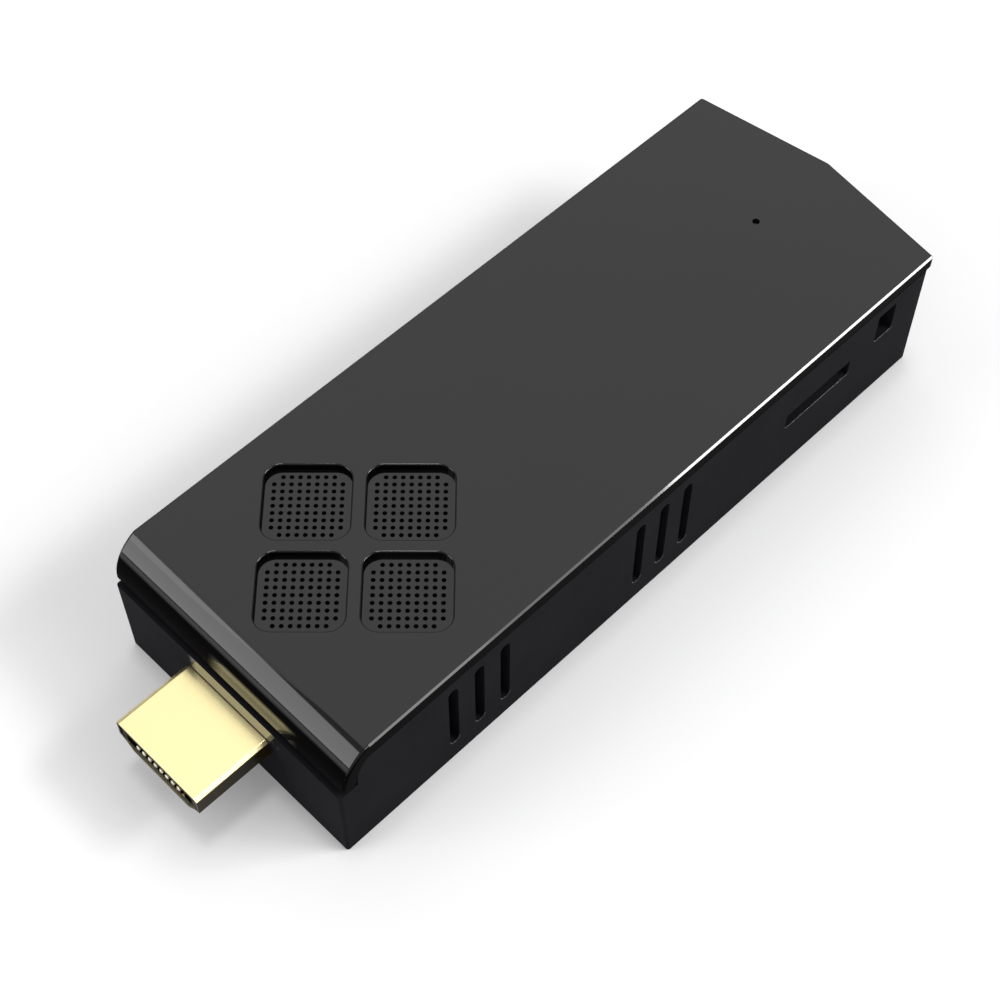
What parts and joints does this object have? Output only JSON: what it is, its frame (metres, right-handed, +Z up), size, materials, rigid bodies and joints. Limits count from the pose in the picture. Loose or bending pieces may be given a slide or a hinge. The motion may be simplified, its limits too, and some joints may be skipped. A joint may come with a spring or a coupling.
{
  "type": "hdmi stick computer",
  "caption": "Stick computer in a black plastic case with recessed square vents, a gilt plug at its front end, side air slots, a card slot and sockets, its electronics and fan inside.",
  "frame": {"origin": "under the middle of the whole stick, plug included, on the surface that it lies on", "axes": "+X from the plug towards the rear end, +Y towards the side with the sockets and the button, +Z up, out of the vented cover"},
  "size_m": [0.1132, 0.0386, 0.0204],
  "materials": {
    "cover_plastic": "glossy black",
    "tub_plastic": "glossy black",
    "gilt_shell": "thin pale gilding on a bright sheet",
    "plug_core": "matte black",
    "gilt_contact": "bright gilt",
    "steel_shell": "plated sheet",
    "usb2_core": "matte black",
    "usb3_core": "matte blue",
    "board": "dark green solder mask",
    "chip": "matte black",
    "chip_substrate": "green laminate with a bright die",
    "soft_pad": "soft grey",
    "aluminium": "anodised",
    "screw_steel": "blackened",
    "plain_steel": "bright",
    "can": "bright can",
    "ferrite": "grey moulding",
    "shield": "tinned sheet",
    "antenna_film": "black film",
    "lead_sleeve": "satin black",
    "fan_plastic": "matte black",
    "bearing_bronze": "sintered",
    "stator_iron": "bare laminations",
    "copper_winding": "enamelled copper",
    "magnet": "bonded ferrite",
    "socket_plastic": "matte black",
    "slider_plastic": "matte ivory",
    "button_plastic": "glossy black",
    "switch_plastic": "matte black",
    "light_body": "clear resin on a white base",
    "clear_pipe": "clear acrylic",
    "wifi_laminate": "dark blue solder mask"
  },
  "bodies": {
    "case": {"top_cover": "cover_plastic", "bottom_housing": "tub_plastic", "hdmi_shell": "gilt_shell", "hdmi_insulator": "plug_core", "hdmi_contacts": "gilt_contact", "mainboard": "board", "processor": "chip_substrate", "thermal_pad": "soft_pad", "heatsink": "aluminium", "heatsink_standoffs": "plain_steel", "heatsink_screws": "plain_steel", "memory_chips": "chip", "storage_chip": "chip", "power_chip": "chip", "firmware_chip": "chip", "inductors": "ferrite", "capacitors": "can", "crystal": "can", "power_shield": "shield", "wifi_module": "wifi_laminate", "wifi_shield": "shield", "antenna": "antenna_film", "antenna_lead": "lead_sleeve", "fan_frame": "fan_plastic", "fan_bearing": "bearing_bronze", "fan_stator": "stator_iron", "fan_coils": "copper_winding", "fan_board": "board", "fan_screws": "plain_steel", "fan_connector": "slider_plastic", "fan_lead": "lead_sleeve", "usb2_shell": "steel_shell", "usb2_tongue": "usb2_core", "usb2_contacts": "gilt_contact", "usb3_shell": "steel_shell", "usb3_tongue": "usb3_core", "usb3_contacts": "gilt_contact", "micro_usb_shell": "steel_shell", "micro_usb_tongue": "usb2_core", "micro_usb_contacts": "gilt_contact", "card_socket_base": "socket_plastic", "card_socket_cover": "steel_shell", "card_contacts": "gilt_contact", "card_spring": "plain_steel", "switch_body": "switch_plastic", "status_led": "light_body", "light_pipe": "clear_pipe", "housing_screws": "screw_steel"},
    "fan_rotor": {"fan_impeller": "fan_plastic", "fan_magnet": "magnet", "fan_shaft": "plain_steel"},
    "button": {"power_button": "button_plastic", "switch_plunger": "slider_plastic"},
    "slider": {"card_slider": "slider_plastic"}
  },
  "joints": [
    {"name": "fan_spin", "type": "hinge", "parent": "case", "child": "fan_rotor", "pos_m": [-0.02573, 0, 0.014], "axis": [0, 0, 1], "continuous": true},
    {"name": "button_press", "type": "slide", "parent": "case", "child": "button", "axis": [0, -1, 0], "range_m": [0, 0.0003], "stiffness_N_per_m": 2000, "springref_m": -0.0003},
    {"name": "card_push", "type": "slide", "parent": "case", "child": "slider", "axis": [0, 1, 0], "range_m": [0, 0.0014], "stiffness_N_per_m": 200, "springref_m": -0.001, "deforming": ["card_spring"]}
  ]
}
